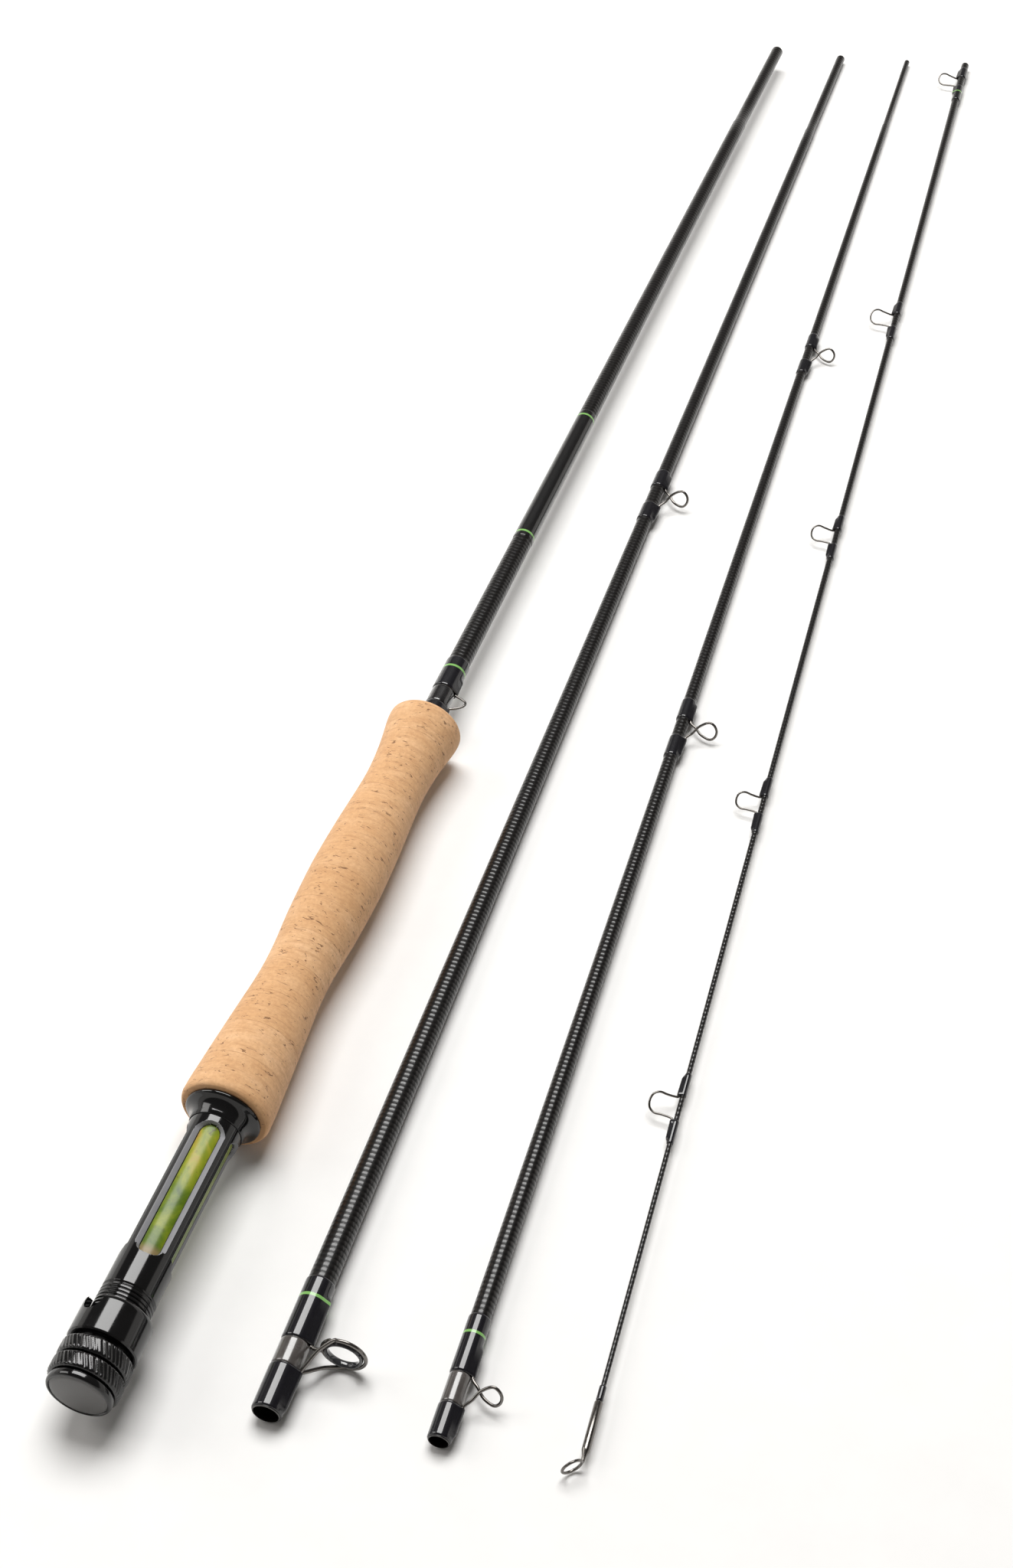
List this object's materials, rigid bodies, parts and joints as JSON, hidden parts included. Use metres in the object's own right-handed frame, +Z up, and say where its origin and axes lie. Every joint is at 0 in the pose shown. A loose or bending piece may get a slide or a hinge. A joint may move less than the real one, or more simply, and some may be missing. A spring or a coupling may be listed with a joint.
{
  "type": "four-piece fly rod",
  "caption": "Fly rod taken apart into its sections and laid side by side: cork grip, screw-locking reel seat, dark tapered blanks, wire guides and tip loop.",
  "frame": {"origin": "centre of the footprint of the four laid-out sections, on the table", "axes": "+Y from the butt cap towards the far end of the butt section, +Z up, +X towards the tip section"},
  "size_m": [0.141, 0.7523, 0.0272],
  "materials": {
    "anodised_aluminium": "black anodised, satin gloss",
    "burl_insert": "stabilised green burl, clear coated",
    "cork": "sanded cork, matt",
    "graphite": "unsanded dark graphite composite, satin",
    "wrap": "dark winding thread under clear epoxy",
    "wire": "hard chromed spring wire",
    "ring": "polished dark ceramic"
  },
  "bodies": {
    "butt": {"butt_cap": "anodised_aluminium", "reel_seat_barrel": "anodised_aluminium", "seat_insert": "burl_insert", "fixed_hood": "anodised_aluminium", "cork_ring_01": "cork", "cork_ring_02": "cork", "cork_ring_03": "cork", "cork_ring_04": "cork", "cork_ring_05": "cork", "cork_ring_06": "cork", "cork_ring_07": "cork", "cork_ring_08": "cork", "cork_ring_09": "cork", "cork_ring_10": "cork", "cork_ring_11": "cork", "cork_ring_12": "cork", "cork_ring_13": "cork", "butt_blank": "graphite", "hook_keeper": "wire", "keeper_wrap_near": "wrap", "keeper_wrap_far": "wrap"},
    "hood": {"sliding_hood": "anodised_aluminium"},
    "jam_nut_body": {"jam_nut": "anodised_aluminium"},
    "lock_nut_body": {"lock_nut": "anodised_aluminium"},
    "lower": {"lower_mid_blank": "graphite", "stripping_guide_ring": "ring", "stripping_guide_frame": "wire", "lower_snake": "wire", "lower_ferrule_wrap_near": "wrap", "lower_ferrule_wrap_far": "wrap", "lower_snake_wrap_near": "wrap", "lower_snake_wrap_far": "wrap"},
    "upper": {"upper_mid_blank": "graphite", "upper_ferrule_snake": "wire", "upper_snake_1": "wire", "upper_snake_2": "wire", "upper_ferrule_wrap_near": "wrap", "upper_ferrule_wrap_far": "wrap", "upper_snake_1_wrap_near": "wrap", "upper_snake_1_wrap_far": "wrap", "upper_snake_2_wrap_near": "wrap", "upper_snake_2_wrap_far": "wrap"},
    "tip": {"tip_blank": "graphite", "tip_snake_1": "wire", "tip_snake_2": "wire", "tip_snake_3": "wire", "tip_snake_4": "wire", "tip_snake_5": "wire", "tiptop_tube": "wire", "tiptop_loop": "wire", "tip_snake_1_wrap_near": "wrap", "tip_snake_1_wrap_far": "wrap", "tip_snake_2_wrap_near": "wrap", "tip_snake_2_wrap_far": "wrap", "tip_snake_3_wrap_near": "wrap", "tip_snake_3_wrap_far": "wrap", "tip_snake_4_wrap_near": "wrap", "tip_snake_4_wrap_far": "wrap", "tip_snake_5_wrap_near": "wrap", "tip_snake_5_wrap_far": "wrap"}
  },
  "joints": [
    {"name": "hood_slide", "type": "slide", "parent": "butt", "child": "hood", "axis": [0, 1, -0.0078], "range_m": [0, 0.0156]},
    {"name": "jam_nut_turn", "type": "hinge", "parent": "hood", "child": "jam_nut_body", "pos_m": [-0.05636, -0.3675, 0.01423], "axis": [0, 1, -0.0078], "range_deg": [0, 4682]},
    {"name": "lock_nut_turn", "type": "hinge", "parent": "hood", "child": "lock_nut_body", "pos_m": [-0.05636, -0.3727, 0.01427], "axis": [0, 1, -0.0078], "range_deg": [0, 4682]},
    {"name": "lower_ferrule_slide", "type": "slide", "parent": "butt", "child": "lower", "axis": [-0.0246, 0.9997, 0], "range_m": [-0.067, 0]},
    {"name": "upper_ferrule_slide", "type": "slide", "parent": "butt", "child": "upper", "axis": [-0.0459, 0.9989, 0], "range_m": [-0.066, 0]},
    {"name": "tip_ferrule_slide", "type": "slide", "parent": "butt", "child": "tip", "axis": [-0.0606, 0.9982, 0], "range_m": [0, 0.057]}
  ],
  "couplings": [
    {"joint": "jam_nut_turn", "follows": "hood_slide", "rad_per_m": 5236},
    {"joint": "lock_nut_turn", "follows": "hood_slide", "rad_per_m": 5236}
  ]
}
